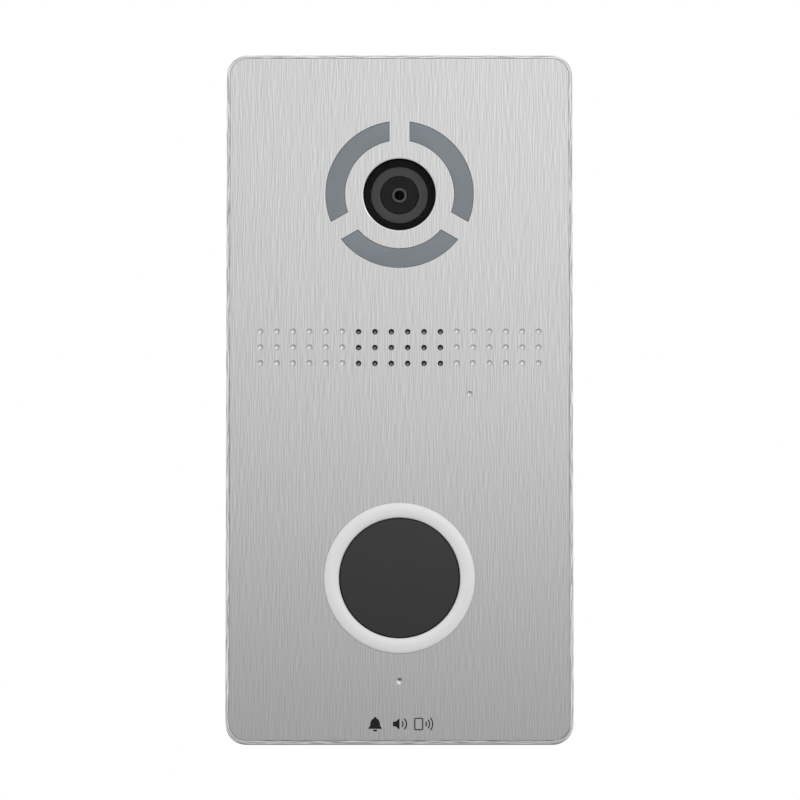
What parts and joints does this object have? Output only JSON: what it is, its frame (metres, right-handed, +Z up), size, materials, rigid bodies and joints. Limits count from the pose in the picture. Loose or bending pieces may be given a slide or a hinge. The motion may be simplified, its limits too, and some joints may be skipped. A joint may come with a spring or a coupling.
{
  "type": "door intercom panel",
  "caption": "Flush door intercom panel: brushed plate with camera, light arcs, speaker holes, round call button in a white ring, and a rear housing with sockets.",
  "frame": {"origin": "on the wall's surface, in the middle of the plate's outline, at the mount wall_opening", "axes": "+X to the right as a visitor sees the panel, +Y into the wall, +Z up"},
  "size_m": [0.1, 0.044, 0.2],
  "materials": {
    "brushed_aluminium": "vertical brushed grain, clear anodised",
    "zinc_steel": "zinc plated sheet and turned steel",
    "screw_steel": "stainless, satin",
    "copper": "enamelled copper winding",
    "black_plastic": "moulded, fine matt texture",
    "housing_plastic": "moulded, fine spark texture",
    "black_gloss": "smooth, half gloss",
    "white_plastic": "smooth white moulding",
    "light_guide": "satin grey diffusing moulding",
    "smoked_window": "polished, lightly smoked",
    "mask_print": "matt black film",
    "hood_plastic": "moulded, matt dark grey",
    "lens_metal": "black anodised",
    "lens_glass": "coated glass",
    "bezel_metal": "satin dark anodised ring",
    "rubber": "soft black rubber",
    "foam": "closed-cell foam",
    "board_green": "solder mask with tinned pads",
    "connector_plastic": "green moulded terminal plastic",
    "paper_cone": "treated paper",
    "flex_cable": "amber film over copper tracks",
    "lead_cover": "twin lead, red sleeve"
  },
  "bodies": {
    "panel": {"front_plate": "brushed_aluminium", "wall_gasket": "foam", "housing_seal": "rubber", "rear_housing": "housing_plastic", "hook_bracket": "zinc_steel", "camera_window": "smoked_window", "camera_mask": "mask_print", "window_seal": "rubber", "lens_hood": "hood_plastic", "lens_barrel": "lens_metal", "lens_glass": "lens_glass", "lens_bezel": "bezel_metal", "lens_holder": "black_plastic", "sensor_board": "board_green", "image_sensor": "black_gloss", "light_diffuser": "light_guide", "light_board": "board_green", "speaker_mesh": "zinc_steel", "speaker_gasket": "foam", "speaker_frame": "black_plastic", "speaker_magnet": "zinc_steel", "speaker_bracket": "zinc_steel", "speaker_lead": "lead_cover", "light_sensor": "board_green", "button_ring": "white_plastic", "button_seal": "rubber", "button_spring": "screw_steel", "button_base": "black_plastic", "reader_antenna": "copper", "button_board": "board_green", "switch_body": "black_plastic", "microphone_boot": "rubber", "microphone": "zinc_steel", "microphone_lead": "lead_cover", "main_board": "board_green", "processor_shield": "zinc_steel", "ethernet_jack": "zinc_steel", "terminal_header": "connector_plastic", "lock_relay": "black_plastic", "tamper_body": "black_plastic", "tamper_spring": "screw_steel", "camera_ribbon": "flex_cable", "button_ribbon": "flex_cable", "bracket_screw_left": "screw_steel", "board_screw_left": "screw_steel", "hook_screw_left": "screw_steel", "lock_screw_left": "screw_steel", "housing_screw_upper_left": "screw_steel", "housing_screw_lower_left": "screw_steel", "bracket_screw_right": "screw_steel", "board_screw_right": "screw_steel", "hook_screw_right": "screw_steel", "lock_screw_right": "screw_steel", "housing_screw_upper_right": "screw_steel", "housing_screw_lower_right": "screw_steel"},
    "call_button": {"button_cap": "black_gloss"},
    "switch_stem": {"switch_plunger": "white_plastic"},
    "tamper_pin": {"tamper_plunger": "white_plastic"},
    "speaker_diaphragm": {"speaker_cone": "paper_cone"},
    "terminal_block_plug": {"terminal_plug": "connector_plastic"}
  },
  "joints": [
    {"name": "button_press", "type": "slide", "parent": "panel", "child": "call_button", "axis": [0, 1, 0], "range_m": [0, 0.001], "stiffness_N_per_m": 1500, "springref_m": -0.001, "deforming": ["button_spring"]},
    {"name": "switch_travel", "type": "slide", "parent": "panel", "child": "switch_stem", "axis": [0, 1, 0], "range_m": [0, 0.0012]},
    {"name": "tamper_press", "type": "slide", "parent": "panel", "child": "tamper_pin", "axis": [0, 1, 0], "range_m": [-0.003, 0], "stiffness_N_per_m": 300, "springref_m": 0.002, "deforming": ["tamper_spring"]},
    {"name": "diaphragm_stroke", "type": "slide", "parent": "panel", "child": "speaker_diaphragm", "axis": [0, 1, 0], "range_m": [-0.0004, 0.0004], "stiffness_N_per_m": 2000},
    {"name": "plug_pull", "type": "slide", "parent": "panel", "child": "terminal_block_plug", "axis": [0, 1, 0], "range_m": [0, 0.0062]}
  ],
  "couplings": [
    {"joint": "switch_travel", "follows": "button_press", "ratio": 1}
  ]
}
